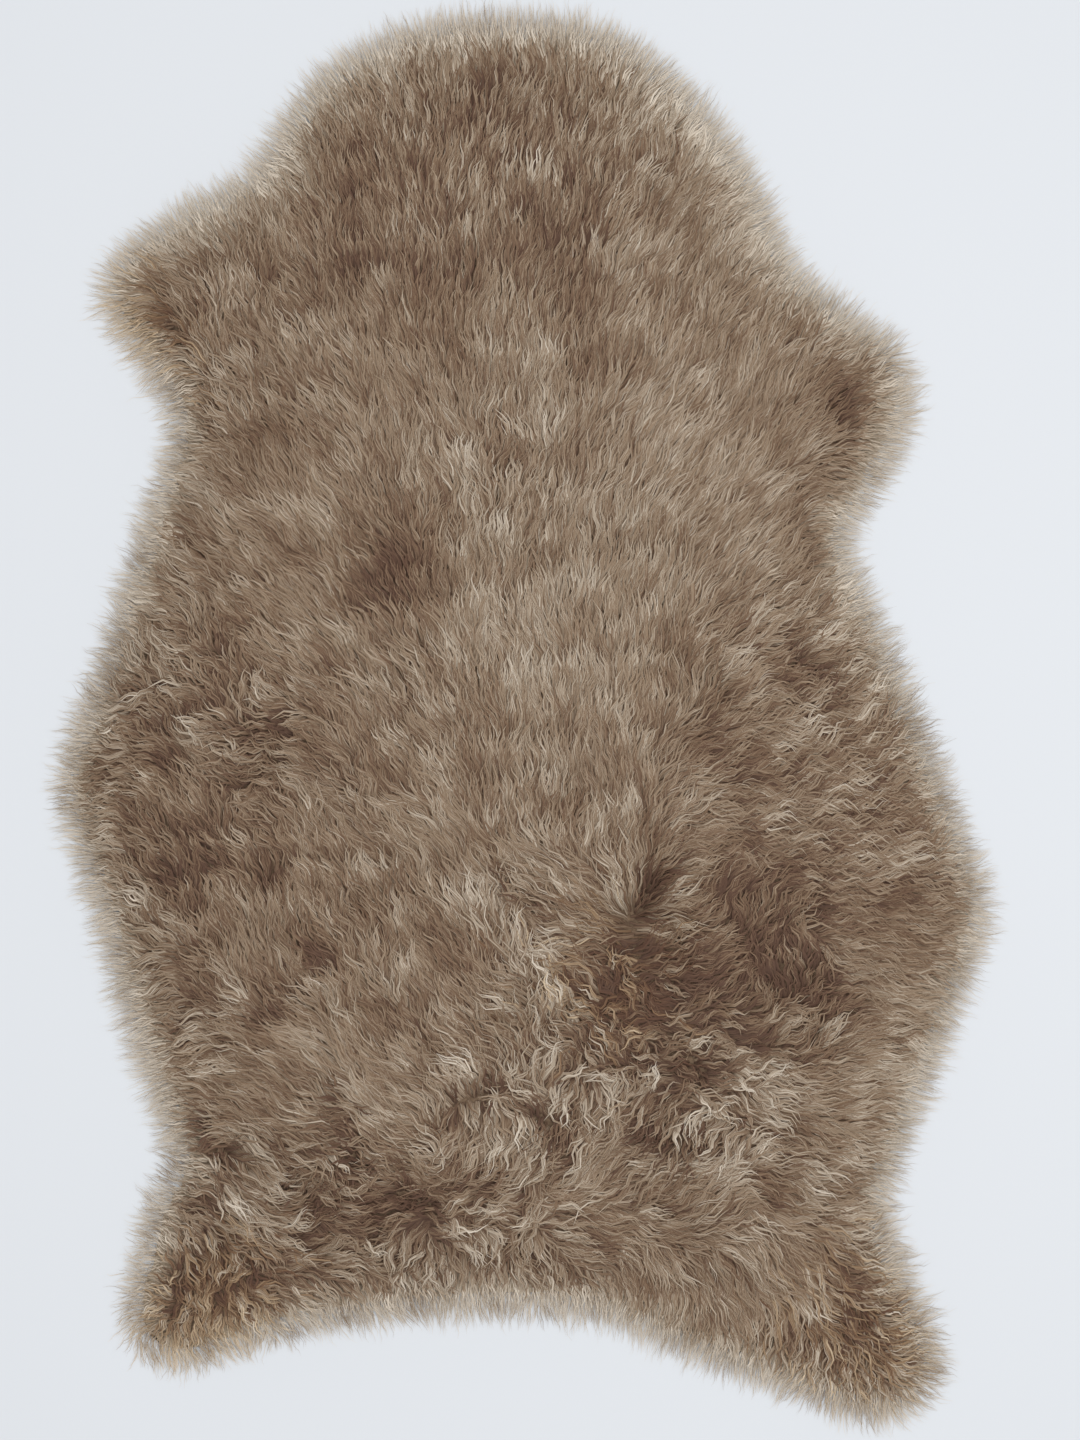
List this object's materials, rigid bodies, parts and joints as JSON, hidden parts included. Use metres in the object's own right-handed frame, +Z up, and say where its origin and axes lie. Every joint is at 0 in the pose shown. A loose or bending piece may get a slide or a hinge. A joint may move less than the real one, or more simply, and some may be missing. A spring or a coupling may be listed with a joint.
{
  "type": "sheepskin",
  "caption": "Natural-shaped sheepskin lying flat: a tanned skin cut to the pelt's own outline, with long dense clumped wool over its face and a soft shaggy rim.",
  "frame": {"origin": "on the surface that the skin lies on, under the middle of the pelt's bounding box", "axes": "+Y along the back towards the neck, +X to the right as seen from above with the neck up, +Z up out of the wool"},
  "size_m": [0.6586, 1.0028, 0.0512],
  "materials": {
    "suede_skin": "suede, matt",
    "wool": "long natural wool pile, soft, matt with a faint sheen"
  },
  "bodies": {
    "root": {"skin": "suede_skin", "fleece": "wool"}
  },
  "joints": []
}
